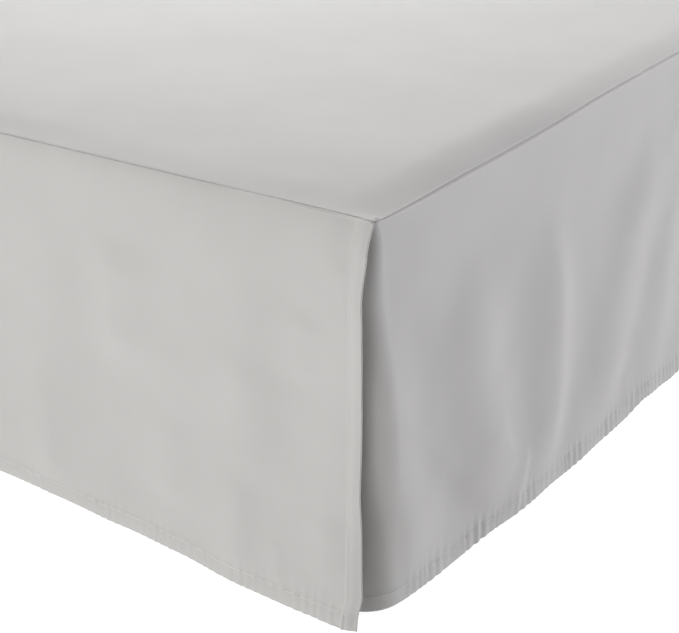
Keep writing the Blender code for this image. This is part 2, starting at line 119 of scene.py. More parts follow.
# ---------------------------------------------------------------- folds
# A fold's crest runs from at_seam to at_hem, which are distances from the right-hand foot corner (on
# the left panel from the left-hand one), and bows between. It starts at the depth "starts". near and
# far are its half widths towards that corner and away from it.
Fold = namedtuple("Fold", "at_seam at_hem bow starts height near far")

RIGHT_FOLDS = [
    Fold(-0.022, 0.066, 0.000, 0.072, 0.0084, 0.030, 0.044),
    Fold(0.182, 0.240, -0.040, 0.080, 0.0096, 0.056, 0.058),
    Fold(-0.141, 0.237, 0.000, 0.190, 0.0040, 0.028, 0.055),
    Fold(0.300, 0.296, 0.038, 0.080, 0.0094, 0.048, 0.034),
    Fold(0.657, 0.404, 0.000, 0.060, 0.0072, 0.065, 0.060),
    Fold(0.727, 0.570, 0.000, 0.100, 0.0052, 0.052, 0.042),
    Fold(0.842, 0.815, 0.010, 0.080, 0.0050, 0.046, 0.050),
    Fold(0.955, 0.985, -0.006, 0.120, 0.0040, 0.036, 0.056),
    Fold(1.160, 1.100, 0.012, 0.070, 0.0060, 0.050, 0.044),
    Fold(1.265, 1.255, 0.000, 0.130, 0.0040, 0.040, 0.050),
    Fold(1.405, 1.450, 0.008, 0.060, 0.0055, 0.044, 0.056),
    Fold(1.600, 1.570, -0.006, 0.110, 0.0045, 0.040, 0.044),
    Fold(1.735, 1.755, 0.000, 0.080, 0.0055, 0.050, 0.046),
    Fold(1.905, 1.890, 0.004, 0.100, 0.0040, 0.040, 0.040),
]
LEFT_FOLDS = [
    Fold(0.060, 0.120, 0.004, 0.080, 0.0045, 0.036, 0.040),
    Fold(0.230, 0.215, 0.008, 0.100, 0.0050, 0.040, 0.036),
    Fold(0.330, 0.375, -0.006, 0.070, 0.0055, 0.034, 0.044),
    Fold(0.520, 0.500, 0.006, 0.120, 0.0040, 0.044, 0.040),
    Fold(0.610, 0.700, 0.010, 0.060, 0.0060, 0.046, 0.050),
    Fold(0.860, 0.845, -0.004, 0.100, 0.0045, 0.040, 0.050),
    Fold(1.010, 1.040, 0.006, 0.080, 0.0055, 0.050, 0.044),
    Fold(1.230, 1.190, 0.000, 0.110, 0.0045, 0.040, 0.048),
    Fold(1.350, 1.375, -0.008, 0.070, 0.0055, 0.050, 0.050),
    Fold(1.560, 1.530, 0.006, 0.120, 0.0040, 0.040, 0.050),
    Fold(1.700, 1.710, 0.000, 0.080, 0.0055, 0.048, 0.044),
    Fold(1.880, 1.900, 0.004, 0.110, 0.0040, 0.040, 0.040),
]
FOOT_FOLDS = [
    Fold(0.110, 0.150, 0.000, 0.110, 0.0036, 0.045, 0.050),
    Fold(0.390, 0.405, 0.000, 0.030, 0.0036, 0.040, 0.040),
    Fold(0.640, 0.610, 0.008, 0.080, 0.0026, 0.050, 0.056),
    Fold(0.790, 0.830, 0.000, 0.100, 0.0022, 0.050, 0.050),
    Fold(0.990, 0.960, -0.006, 0.090, 0.0028, 0.056, 0.050),
    Fold(1.150, 1.180, 0.004, 0.110, 0.0022, 0.046, 0.056),
    Fold(1.330, 1.300, 0.000, 0.070, 0.0028, 0.044, 0.050),
    Fold(1.440, 1.420, 0.004, 0.080, 0.0020, 0.036, 0.036),
]
# Two-column tables: a place along a panel, or a depth below the seam, and a distance outwards.
RIGHT_FLARE = [
    (0.000, 0.006), (0.042, 0.008), (0.110, 0.014), (0.200, 0.022), (0.300, 0.029), (0.400, 0.035),
    (0.500, 0.039), (0.600, 0.042), (0.680, 0.045), (0.820, 0.040), (1.000, 0.034), (1.250, 0.036),
    (1.500, 0.030), (1.750, 0.032), (2.032, 0.024),
]
LEFT_FLARE = [
    (0.000, 0.006), (0.060, 0.010), (0.180, 0.020), (0.380, 0.030), (0.600, 0.041), (0.760, 0.043),
    (1.000, 0.036), (1.300, 0.032), (1.600, 0.034), (2.032, 0.024),
]
FOOT_FLARE = [
    (0.000, 0.020), (0.040, 0.025), (0.140, 0.023), (0.220, 0.014), (0.300, 0.008), (0.400, 0.003),
    (0.500, 0.000), (0.700, 0.004), (0.950, 0.007), (1.200, 0.010), (1.380, 0.020), (1.480, 0.024),
    (1.524, 0.019),
]
# Radius in which a side panel rounds its foot corner, by depth.
CORNER_WRAP = [(0.000, 0.007), (0.025, 0.015), (0.100, 0.026), (0.200, 0.033), (0.300, 0.038),
               (SKIRT_DROP, 0.044)]
# How far the hidden ends and rounded corners of the side panels stand out under the foot panel.
RETURN_OUT = [(0.000, 0.000), (0.030, 0.001), (0.080, 0.006), (0.150, 0.0075), (0.220, 0.005),
              (0.300, 0.001), (SKIRT_DROP, 0.000)]
# How far the foot panel's free edges stand out.
EDGE_KICK = [
    (0.000, 0.0002), (0.030, 0.0009), (0.070, 0.0016), (0.130, 0.0014), (0.200, 0.0005),
    (0.260, 0.0001), (0.330, -0.0014), (0.385, -0.0034), (SKIRT_DROP, -0.0034),
]
# How far the foot panel's free edges are drawn towards its middle.
EDGE_PULL = [
    (0.000, -0.0012), (0.030, 0.0004), (0.070, 0.0034), (0.100, 0.0022), (0.130, 0.0016), (0.200, 0.0020),
    (0.260, 0.0020), (0.310, -0.0008), (0.370, -0.0030), (0.390, 0.0009), (SKIRT_DROP, 0.0015),
]
PULL_WIDTH = 0.060           # EDGE_PULL fades over this length of the foot panel
# Height of the small ridge beside the stitches of the foot panel's free edges, by depth.
EDGE_WELT = [(0.000, 0.0002), (0.050, 0.0001), (0.120, 0.0001), (0.190, 0.0003), (0.250, 0.0001),
             (0.320, 0.0003), (0.360, 0.0006), (SKIRT_DROP, 0.0008)]
WELT_PLACE = 0.0015          # its crest, beyond the hem's inner edge
WELT_WIDTH = 0.0011
WELT_SWELL = 0.0071          # its swelling and shrinking turns a radian in this depth

# ---------------------------------------------------------------- smaller forms, only in the looks
FULL_GROOVE = 0.0005         # in a groove this deep, the slit is fully open
FOOT_GROOVE_MOST = 0.0006
SEAM_OVERLAP = 0.0003        # where the foot seam has no groove, deck and panel overlap by this much
OVERLAP_FADE = 0.100         # the panel stands out by as much there, and goes back over this depth
# Depth of the seam's groove, by distance from the right-hand foot corner.
SIDE_GROOVE = [(0.000, 0.0008), (0.030, 0.0007), (2.032, 0.0007)]
FOOT_GROOVE = [(0.000, FOOT_GROOVE_MOST), (0.070, 0.0004), (0.120, 0.0001), (0.180, -SEAM_OVERLAP),
               (1.320, -SEAM_OVERLAP), (1.450, 0.0004), (1.524, FOOT_GROOVE_MOST)]
SOFT_TURN = 0.0012           # where the foot seam has none, the panel comes out this much below it
SOFT_TURN_DEPTH = 0.008      # how fast it comes out
SOFT_TURN_FADE = 0.150       # it goes back over this depth
SOFT_EDGE = 0.0060           # radius of the deck's edge where its seam has no groove
SEAM_RIDGE = 0.00020         # both edges rise this much beside the seam
RIDGE_PLACE = 0.0014
RIDGE_WIDTH = 0.0008
# How far the side's seam hangs below its straight line.
SEAM_SAG = [(0.000, 0.0010), (0.016, 0.0030), (0.150, 0.0034), (0.250, 0.0046), (0.330, 0.0042),
            (0.470, 0.0012), (0.700, 0.0010), (1.000, 0.0022), (1.400, 0.0008), (2.032, 0.0010)]
SAG_DECK = 0.045             # the sag fades out over this distance into the deck
SAG_DECK_POWER = 1.5         # above 1 it fades faster at first
SAG_PANEL = 0.120            # and over this depth down the panel
SAG_HIDDEN = 0.3             # share of it at the corner and behind the foot panel
DECK_EASE = 0.0013           # the deck lies this much clear of the box spring, unevenly
EASE_REACH = 0.05            # from this distance inside its seams
DECK_WAVE_SCALE = 0.7        # the deck's waves are the panels' with their places scaled by this
# The foot panel comes out over the bed's edge in a soft curve below its seam.
FOOT_BULGE = [(0.000, 0.0064), (0.022, 0.0084), (0.060, 0.0078), (0.120, 0.0066), (0.300, 0.0044),
              (0.500, 0.0030), (1.524, 0.0030)]
BULGE_DEPTH = 0.024          # how fast it comes out
BULGE_FULL = 0.05            # it goes back from this depth on
BULGE_FADE = 0.20            # over this depth
WAVE_START = 0.08            # the panels' waves reach their full height at this depth
FOOT_WAVE_SHIFT = 3.0        # so that the foot panel's waves aren't the side's
RELIEF_START = 0.4           # share of a side's first stretch over which its small forms set in
HEM_PUFF = 0.0007            # a sewn hem stands out this much between its stitches and its edge
PUFF_LEAN = 1.4              # above 1 it stands out most nearer to its stitches
BOTTOM_PUFF = 0.6            # share of it on the bottom hems
EDGE_PUFF_START = 0.01       # on the vertical hems it sets in over this depth
SIDE_RIPPLE = 0.00120        # ripples beside the hem's stitches
FOOT_RIPPLE = 0.00055
RIPPLE_REACH = 0.011         # how far above the stitches they reach
RIPPLE_START = 0.1           # and the depth at which they are full
GATHER = 0.00016             # ripples where a panel is gathered a little into its seam
GATHER_DEPTH = 0.009
GATHER_PACE = 1.3            # they follow this much closer than a hem's
HEM_DROOP = 0.0046           # the foot panel's free corners hang this much lower
DROOP_WIDTH = 0.050
LOW_POWER = 4                # above 1 a hem's extra length lies mostly near the hem
# How much lower each hem hangs than level, by the place along its panel.
SIDE_LOW = [(0.000, -0.0010), (0.070, 0.0004), (0.130, 0.0042), (0.200, 0.0006), (0.300, 0.0002),
            (0.350, 0.0047), (0.510, 0.0052), (0.560, -0.0016), (0.600, 0.0024), (0.650, 0.0066),
            (0.800, 0.0020), (2.032, 0.0000)]
FOOT_LOW = [(0.000, 0.0000), (0.075, 0.0016), (0.150, -0.0006), (0.240, 0.0000), (0.320, 0.0018),
            (0.430, -0.0012), (0.500, 0.0000), (1.524, 0.0000)]

# A crease runs from start to end, as (place along the panel, depth); near is its half width on the
# side that lies to its left, seen along it from outside.
Crease = namedtuple("Crease", "start end height near far")
RIGHT_CREASES = [
    Crease((0.268, 0.328), (0.238, 0.410), 0.0022, 0.024, 0.008),
    Crease((0.202, 0.270), (0.242, 0.355), 0.0012, 0.026, 0.011),
    Crease((0.512, 0.340), (0.520, 0.402), 0.0010, 0.012, 0.022),
]
FOOT_CREASES = [
    Crease((0.085, 0.075), (0.262, 0.290), 0.0055, 0.028, 0.040),
    Crease((0.062, 0.090), (0.075, 0.170), 0.0022, 0.020, 0.022),
    Crease((0.292, 0.070), (0.296, 0.225), 0.0048, 0.060, 0.024),
    Crease((0.140, 0.270), (0.143, 0.400), 0.0028, 0.020, 0.020),
    Crease((0.232, 0.240), (0.236, 0.360), 0.0032, 0.030, 0.030),
    Crease((0.408, 0.250), (0.415, 0.402), 0.0030, 0.022, 0.030),
    Crease((0.094, 0.335), (0.089, 0.392), 0.0010, 0.007, 0.010),
    Crease((0.036, 0.290), (0.038, 0.370), 0.0016, 0.020, 0.020),
    Crease((0.018, -0.020), (0.024, 0.055), -0.0024, 0.006, 0.014),
    Crease((0.122, 0.140), (0.132, 0.300), 0.0034, 0.034, 0.030),
]

# Slow unevenness of the cloth: wave length, direction in degrees, shift and height.
Wave = namedtuple("Wave", "length turn shift height")
WAVES = [
    Wave(0.310, 12, 0.3, 0.00040), Wave(0.190, -38, 1.9, 0.00030), Wave(0.127, 71, 4.0, 0.00022),
    Wave(0.083, -9, 2.2, 0.00012), Wave(0.061, 40, 5.1, 0.00008), Wave(0.047, -66, 0.9, 0.00006),
]


# ---------------------------------------------------------------- shape of the cloth
def smooth(t):
    """0 up to 0, 1 from 1 on, and eased between."""
    t = np.clip(t, 0.0, 1.0)
    return t * t * (3.0 - 2.0 * t)


def fade(distance, reach):
    """1 at no distance, falling to 0 at reach."""
    return 1.0 - smooth(distance / reach)


def bell(x, width):
    return np.exp(-((x / width) ** 2))


def along(rows, x):
    """Read a two-column table at x, easing between its rows."""
    table = np.array(rows)
    x = np.clip(x, table[0, 0], table[-1, 0])
    low = np.clip(np.searchsorted(table[:, 0], x, side="right") - 1, 0, len(table) - 2)
    share = (x - table[low, 0]) / (table[low + 1, 0] - table[low, 0])
    ease = 0.5 * share + 0.5 * smooth(share)
    return table[low, 1] + (table[low + 1, 1] - table[low, 1]) * ease


def fold_height(folds, distance, depth):
    share = depth / SKIRT_DROP
    calm = 1.0 - HEM_CALM * smooth((share - CALM_START) / (1.0 - CALM_START))
    total = 0.0
    for fold in folds:
        crest = fold.at_seam + (fold.at_hem - fold.at_seam) * share + fold.bow * 4 * share * (1 - share)
        width = np.where(distance < crest, fold.near, fold.far)
        grow = smooth((depth - fold.starts) / FOLD_GROWTH) * calm
        total = total + fold.height * grow * bell(distance - crest, width)
    return total


def crease_height(creases, distance, depth):
    """Each crease sets in over the first and dies over the last 0.3 of its length."""
    total = 0.0
    for crease in creases:
        run = np.subtract(crease.end, crease.start)
        length = math.hypot(*run)
        a, b = distance - crease.start[0], depth - crease.start[1]
        t = (a * run[0] + b * run[1]) / length**2
        across = (a * run[1] - b * run[0]) / length
        width = np.where(across < 0, crease.near, crease.far)
        ends = smooth(t / 0.3) * smooth((1 - t) / 0.3)
        total = total + crease.height * ends * bell(across, width)
    return total


def swing(a, length, shift=0.0):
    return np.sin(2 * math.pi * a / length + shift)


def waviness(a, b):
    total = 0.0
    for wave in WAVES:
        turn = math.radians(wave.turn)
        place = a * math.cos(turn) + b * math.sin(turn)
        total = total + wave.height * swing(place, wave.length, wave.shift)
    return total


def pucker(a, shift=0.0):
    """Uneven ripples along a sewn line, between -1 and 1: two wave lengths that wander, and fade."""
    ripple = swing(a, 0.0115, 1.7 * swing(a, 0.071, shift))
    fine = swing(a, 0.0083, 2.0 * swing(a, 0.052, shift))
    strength = 0.70 + 0.30 * swing(a, 0.094, 2.1 + shift)
    return (0.6 * ripple + 0.4 * fine) * strength


def hang(depth):
    return (np.maximum(depth, 0.0) / SKIRT_DROP) ** HANG_POWER


def hem_puff(width, gap):
    """A hem's own height, by the distance from its edge."""
    inside = np.clip(gap / width, 0.0, 1.0)
    return HEM_PUFF * np.sin(math.pi * inside**PUFF_LEAN)


def hem_relief(a, depth, shift, ripple):
    """Ripples and the dented stitch line of a bottom hem."""
    above = HEM_STITCH_DEPTH - depth
    reach = np.where(above > 0, bell(above, RIPPLE_REACH), 1.0)
    puff = hem_puff(SKIRT_DROP - HEM_STITCH_DEPTH, SKIRT_DROP - depth)
    return ripple * pucker(a, shift) * reach * smooth(depth / RIPPLE_START) + puff * BOTTOM_PUFF


def top_relief(a, depth, shift):
    return GATHER * pucker(a * GATHER_PACE, shift) * bell(depth, GATHER_DEPTH)


def roll_drop(inside, reach, radius=EDGE_ROLL):
    """How far the deck's edge has rolled down, by the distance in from its seam."""
    dip = SOFT_DIP * np.maximum(0.0, 1.0 - inside / reach) ** 2
    turn = np.sqrt(1.0 - (1.0 - EDGE_DROP / radius) ** 2) * np.clip(1.0 - inside / radius, 0.0, 1.0)
    return dip + radius * (1.0 - np.sqrt(1.0 - turn * turn))


def seam_slit(groove):
    """Half the slit between deck and panel; where the seam has no groove they overlap."""
    return SEAM_SLIT * np.clip(groove / FULL_GROOVE, 0.0, 1.0) + np.minimum(groove, 0.0)


FULL_ROLL = SOFT_DIP + EDGE_DROP
DECK_Z = SEAM_Z + FULL_ROLL
LIP_SHARE = (FULL_ROLL - SEAM_LIP) / FULL_ROLL


def round_foot_corner(x, y):
    across = np.maximum(1.0 - (SIDE_X - np.abs(x)) / CORNER_ZONE, 0.0)
    back = np.maximum(1.0 - (y - FOOT_Y) / CORNER_ZONE, 0.0)
    cut = 1.0 - (1.0 - CORNER_CUT / CORNER_ZONE) ** 2
    inside = (across > 0) & (back > 0)
    less_x = np.sqrt(1.0 - cut * np.minimum(back, CORNER_LIMIT) ** 2)
    less_y = np.sqrt(1.0 - cut * np.minimum(across, CORNER_LIMIT) ** 2)
    new_x = SIDE_X - CORNER_ZONE * (1.0 - across * less_x)
    new_y = FOOT_Y + CORNER_ZONE * (1.0 - back * less_y)
    return np.where(inside, np.copysign(new_x, x), x), np.where(inside, new_y, y)


def follow_corner(x, y, out_x, out_y, depth, slit):
    """Bend a panel near its seam round the deck's foot corner, and set its points at their depths."""
    round_x, round_y = round_foot_corner(x, y)
    near_seam = fade(depth, CORNER_FADE)
    z = SEAM_Z - slit * (1.0 - depth / SKIRT_DROP) - depth
    return np.stack(np.broadcast_arrays(x + (round_x - x) * near_seam + out_x,
                                        y + (round_y - y) * near_seam - out_y, z), axis=-1)


def deck_edge(inside, groove, reach):
    """Distance in from the seam of a place on the deck, its share of the full roll, and its turn in.

    Past the seam, where inside is negative down to -1, the cloth turns under into the groove.
    """
    slit = seam_slit(groove)
    lip = np.clip(-inside, 0.0, 1.0)
    radius = EDGE_ROLL + (SOFT_EDGE - EDGE_ROLL) * fade(groove, FULL_GROOVE)
    top = roll_drop(np.maximum(inside, 0.0), reach, radius) / FULL_ROLL * LIP_SHARE
    down = np.where(groove < 0, lip, 1.0 - (1.0 - lip) ** 2)
    across = np.where(groove < 0, lip, lip**2)
    under = LIP_SHARE + (1.0 - LIP_SHARE) * down * (1.0 - slit / SEAM_LIP)
    return np.maximum(inside, 0.0), np.where(inside < 0, under, top), across


def deck_point(inside_x, side, inside_foot):
    """inside_x is measured from the seam of that side (1 right, -1 left), inside_foot from the foot."""
    distance = np.maximum(inside_foot, 0.0)
    from_right = SIDE_X - (SIDE_X - np.maximum(inside_x, 0.0)) * side
    side_groove = along(SIDE_GROOVE, distance)
    foot_groove = along(FOOT_GROOVE, from_right)
    in_x, at_side, turned_x = deck_edge(inside_x, side_groove, SIDE_ROLL)
    in_y, at_foot, turned_y = deck_edge(inside_foot, foot_groove, FOOT_ROLL)
    at_head = roll_drop(BED_LENGTH - distance, SIDE_ROLL) / FULL_ROLL * LIP_SHARE
    at_end = np.maximum(at_foot, at_head)
    z = DECK_Z - FULL_ROLL * (at_side + at_end - at_side * at_end)
    x = SIDE_X - in_x - side_groove * turned_x
    x, y = round_foot_corner(x * side, FOOT_Y + in_y + foot_groove * turned_y)
    z = z - along(SEAM_SAG, distance) * np.maximum(1.0 - in_x / SAG_DECK, 0.0) ** SAG_DECK_POWER
    foot_ridge = bell(in_y - RIDGE_PLACE, RIDGE_WIDTH) * np.clip(foot_groove / FULL_GROOVE, 0.0, 1.0)
    z = z + SEAM_RIDGE * np.maximum(bell(in_x - RIDGE_PLACE, RIDGE_WIDTH), foot_ridge)
    inner = smooth(in_x / EASE_REACH) * smooth(in_y / EASE_REACH)
    z = z + inner * (DECK_EASE + waviness(x * DECK_WAVE_SCALE, y * DECK_WAVE_SCALE))
    return np.stack(np.broadcast_arrays(x, y, z), axis=-1)


def side_point(folds, flare, creases, station, depth):
    """A point of the right-hand side panel.

    Station 0 to 1 is the hidden end behind the foot panel, 1 to 2 the rounded corner,
    2 to 3 the first stretch of the side, and past 3 each unit is a metre along the side.
    """
    station, depth = np.broadcast_arrays(station, depth)
    radius = along(CORNER_WRAP, depth)
    share = hang(depth)
    inset = RETURN_INSET * (1.0 - share)
    return_y = FOOT_Y + inset - along(RETURN_OUT, depth)
    centre_y = return_y + radius

    def spread(distance):
        return along(flare, distance) * share + fold_height(folds, distance, depth)

    # the rounded corner ends in line with the side, whose slope there is found in two rounds
    small_step = 0.001
    turn = np.zeros_like(depth)
    for _ in range(2):
        start = centre_y - radius * np.sin(turn) - FOOT_Y
        turn = np.arctan((spread(start + small_step) - spread(start)) / small_step)
    start = centre_y - radius * np.sin(turn) - FOOT_Y
    centre_x = SIDE_X + spread(start) - inset - radius * np.cos(turn)
    # hidden end
    end_x = SIDE_X - RETURN_LENGTH
    x_end = end_x + (centre_x - end_x) * np.clip(station, 0.0, 1.0)
    # rounded corner
    angle = turn + (math.pi / 2 - turn) * (2.0 - np.clip(station, 1.0, 2.0))
    x_arc = centre_x + radius * np.cos(angle)
    y_arc = centre_y - radius * np.sin(angle)
    # the side itself
    distance = start + (NEAR_CORNER - start) * np.clip(station - 2.0, 0.0, 1.0)
    distance = distance + np.maximum(station - 3.0, 0.0)
    small = waviness(distance, depth) * smooth(depth / WAVE_START) + crease_height(creases, distance, depth)
    small = small + hem_relief(distance, depth, 0.0, SIDE_RIPPLE) + top_relief(distance, depth, 1.0)
    small = small - along(SIDE_GROOVE, distance) * np.exp(-depth / SEAM_SOFT)
    small = small + SEAM_RIDGE * bell(depth - RIDGE_PLACE, RIDGE_WIDTH)
    out = spread(distance) - inset * fade(distance - start, RETURN_EASE)
    out = out + small * smooth((station - 2.0) / RELIEF_START)
    on_side = station > 2.0
    x = np.where(on_side, SIDE_X, np.where(station > 1.0, x_arc, x_end))
    y = np.where(on_side, FOOT_Y + distance, np.where(station > 1.0, y_arc, return_y))
    run = np.where(on_side, distance, 0.0)
    slit = seam_slit(along(SIDE_GROOVE, run))
    place = follow_corner(x, y, np.where(on_side, out, 0.0), 0.0, depth, slit)
    place[..., 2] -= along(SEAM_SAG, run) * fade(depth, SAG_PANEL) * np.where(on_side, 1.0, SAG_HIDDEN)
    place[..., 2] -= along(SIDE_LOW, run) * (depth / SKIRT_DROP) ** LOW_POWER
    return place


def foot_point(x, depth):
    x, depth = np.broadcast_arrays(x, depth)
    from_right = SIDE_X - x
    edge_gap = SIDE_X - FOOT_EDGE_INSET - np.abs(x)
    out = along(FOOT_FLARE, from_right) * hang(depth) + along(EDGE_KICK, depth) * fade(edge_gap, KICK_WIDTH)
    out = out + fold_height(FOOT_FOLDS, from_right, depth)
    out = out + waviness(from_right + FOOT_WAVE_SHIFT, depth) * smooth(depth / WAVE_START)
    out = out + crease_height(FOOT_CREASES, from_right, depth)
    out = out + hem_relief(from_right, depth, 2.0, FOOT_RIPPLE) + top_relief(from_right, depth, 0.0)
    out = out + hem_puff(EDGE_STITCH_GAP, edge_gap) * smooth(depth / EDGE_PUFF_START)
    # the seam: a groove with a ridge near the corners, an overlap and a soft turn between
    groove = along(FOOT_GROOVE, from_right)
    open_groove, overlap = np.maximum(groove, 0.0), np.minimum(groove, 0.0)
    out = out - open_groove * np.exp(-depth / SEAM_SOFT)
    out = out - overlap * fade(depth, OVERLAP_FADE)
    soft_turn = SOFT_TURN * (1.0 - np.exp(-depth / SOFT_TURN_DEPTH)) * fade(depth, SOFT_TURN_FADE)
    out = out + soft_turn * np.clip(-groove / SEAM_OVERLAP, 0.0, 1.0)
    out = out + SEAM_RIDGE * bell(depth - RIDGE_PLACE, RIDGE_WIDTH) * open_groove / FOOT_GROOVE_MOST
    swell = 0.8 + 0.4 * np.sin(depth / WELT_SWELL + 1.3)
    welt_places = bell(edge_gap - EDGE_HEM_WIDTH - WELT_PLACE, WELT_WIDTH) * swell
    out = out + along(EDGE_WELT, depth) * welt_places
    bulge = (1.0 - np.exp(-depth / BULGE_DEPTH)) * fade(depth - BULGE_FULL, BULGE_FADE)
    out = out + along(FOOT_BULGE, from_right) * bulge
    place = follow_corner(x, np.full_like(x, FOOT_Y), 0.0, out, depth, seam_slit(groove))
    outwards = FOOT_EDGE_INSET * fade(depth, INSET_FADE) * fade(edge_gap, INSET_FADE)
    place[..., 0] += np.sign(x) * (outwards - along(EDGE_PULL, depth) * fade(edge_gap, PULL_WIDTH))
    low = HEM_DROOP * fade(edge_gap, DROOP_WIDTH) + along(FOOT_LOW, from_right)
    place[..., 2] -= low * (depth / SKIRT_DROP) ** LOW_POWER
    return place


# ---------------------------------------------------------------- meshes
def add_object(name, mesh, mat):
    item = bpy.data.objects.new(name, mesh)
    mesh.materials.append(mat)
    bpy.context.scene.collection.objects.link(item)
    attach(item, "root")
    return item


def steps(start, end, size):
    """Evenly spaced values from start to end, about size apart, without the start."""
    count = max(1, round((end - start) / size))
    return [start + (end - start) * (n + 1) / count for n in range(count)]


def ladder(*stops):
    """Values from the first stop on; each later stop is (value, spacing up to it)."""
    values = [stops[0]]
    for value, size in stops[1:]:
        values += steps(values[-1], value, size)
    return np.array(values)


def cloth_sheet(name, points, hem, flat, mat):
    """A grid of points, columns by rows, as cloth. hem is 1 where it is turned and sewn.

    flat is each point's place on the flat cloth, kept as the UV map for the weave.
    """
    columns, rows = points.shape[:2]
    index = np.arange(columns * rows).reshape(columns, rows)
    quads = np.stack([index[:-1, :-1], index[1:, :-1], index[1:, 1:], index[:-1, 1:]], -1).reshape(-1, 4)
    mesh = bpy.data.meshes.new(name)
    mesh.from_pydata(points.reshape(-1, 3).tolist(), [], quads.tolist())
    mesh.shade_smooth()
    corner = np.zeros(len(mesh.loops), np.int32)
    mesh.loops.foreach_get("vertex_index", corner)
    mesh.uv_layers.new(name="Weave").data.foreach_set("uv", flat.reshape(-1, 2)[corner].ravel())
    sheet = add_object(name, mesh, mat)
    group = sheet.vertex_groups.new(name="hem")
    hem = np.broadcast_to(hem, (columns, rows)).reshape(-1)
    for weight in np.unique(hem):
        group.add(np.flatnonzero(hem == weight).tolist(), float(weight), "REPLACE")
    solid = sheet.modifiers.new("Cloth thickness", "SOLIDIFY")
    solid.thickness = HEM_CLOTH
    solid.offset = 0.0
    solid.use_even_offset = True
    solid.vertex_group = group.name
    solid.thickness_vertex_group = CLOTH / HEM_CLOTH
    return sheet


def stitch_rows(name, lines, mat):
    """Short thread stitches on the cloth. Each line is (points on the cloth, outward normals)."""
    around = [2 * math.pi * side / STITCH_SIDES for side in range(STITCH_SIDES)]
    verts, faces = [], []
    for points, normals in lines:
        ahead = np.diff(points, axis=0)
        length = np.linalg.norm(ahead, axis=1)
        travelled = np.concatenate([[0.0], np.cumsum(length)])
        for start in np.arange(0.0, travelled[-1] - STITCH_LENGTH, STITCH_PITCH):
            k = min(np.searchsorted(travelled, start, side="right") - 1, len(length) - 1)
            run = ahead[k] / length[k]
            origin = points[k] + run * (start - travelled[k])
            up = normals[k] - run * normals[k].dot(run)
            up /= np.linalg.norm(up)
            cross = np.cross(run, up)
            first = len(verts)
            for place, size in STITCH_RINGS:
                centre = origin + run * STITCH_LENGTH * place
                for angle in around:
                    spoke = up * math.cos(angle) * STITCH_FLATNESS + cross * math.sin(angle)
                    verts.append(centre + spoke * STITCH_RADIUS * size)
            last = len(verts) - STITCH_SIDES
            for ring in range(first, last, STITCH_SIDES):
                for side in range(STITCH_SIDES):
                    a = ring + side
                    b = ring + (side + 1) % STITCH_SIDES
                    faces.append((a, b, b + STITCH_SIDES, a + STITCH_SIDES))
            faces.append(tuple(range(first + STITCH_SIDES - 1, first - 1, -1)))
            faces.append(tuple(range(last, last + STITCH_SIDES)))
    mesh = bpy.data.meshes.new(name)
    mesh.from_pydata([tuple(v) for v in verts], [], faces)
    mesh.shade_smooth()
    return add_object(name, mesh, mat)


def stitch_line(place, a, b, away, lift=HEM_CLOTH / 2):
    """Points a little outside a cloth surface, and its normals there, on the side that faces away."""
    small = 0.0004
    across = place(a + small, b) - place(a - small, b)
    down = place(a, b + small) - place(a, b - small)
    normal = np.cross(across, down)
    normal /= np.linalg.norm(normal, axis=-1, keepdims=True)
    normal *= np.where(normal @ np.array(away) < 0, -1.0, 1.0)[..., None]
    return place(a, b) + normal * lift, normal


# ---------------------------------------------------------------- materials
def new_material(name, colour, roughness, metallic=0.0):
    mat = bpy.data.materials.new(name)
    mat.use_nodes = True
    shader = mat.node_tree.nodes["Principled BSDF"]
    shader.inputs["Base Color"].default_value = (*colour, 1.0)
    shader.inputs["Roughness"].default_value = roughness
    shader.inputs["Metallic"].default_value = metallic
    return mat, mat.node_tree.nodes, mat.node_tree.links, shader


def noise(nodes, links, vector, scale, detail=2.0):
    texture = nodes.new("ShaderNodeTexNoise")
    texture.inputs["Scale"].default_value = scale
    texture.inputs["Detail"].default_value = detail
    links.new(vector, texture.inputs["Vector"])
    return texture.outputs["Fac"]


def ramp(nodes, links, value, low, high):
    """Blend two colours by a noise, from its common low to its common high values."""
    node = nodes.new("ShaderNodeMapRange")
    node.data_type = "FLOAT_VECTOR"
    links.new(value, node.inputs["Vector"])
    # inputs 7 to 10 are the vector forms of From Min, From Max, To Min and To Max
    for number, limit in enumerate(((0.3, 0.3, 0.3), (0.7, 0.7, 0.7), low, high), start=7):
        node.inputs[number].default_value = limit
    return node.outputs["Vector"]


def bump(nodes, links, height, distance, strength, before=None):
    node = nodes.new("ShaderNodeBump")
    node.inputs["Distance"].default_value = distance
    node.inputs["Strength"].default_value = strength
    links.new(height, node.inputs["Height"])
    if before:
        links.new(before, node.inputs["Normal"])
    return node.outputs["Normal"]


def weave(nodes, links, vector, period):
    """Plain weave: two crossing sets of fine bands, in metres on the flat cloth."""
    mix = nodes.new("ShaderNodeMath")
    mix.operation = "ADD"
    for number, direction in enumerate("XY"):
        wave = nodes.new("ShaderNodeTexWave")
        wave.bands_direction = direction
        wave.inputs["Scale"].default_value = math.pi / 10 / period  # at scale 1 it repeats each pi / 10
        wave.inputs["Distortion"].default_value = 0.6
        links.new(vector, wave.inputs["Vector"])
        links.new(wave.outputs["Fac"], mix.inputs[number])
    return mix.outputs["Value"]


CLOTH_COLOUR = (0.470, 0.465, 0.461)
CLOTH_MOTTLE = 0.012         # share by which it is lighter and darker in places
WEAVE_PERIOD = 0.00055


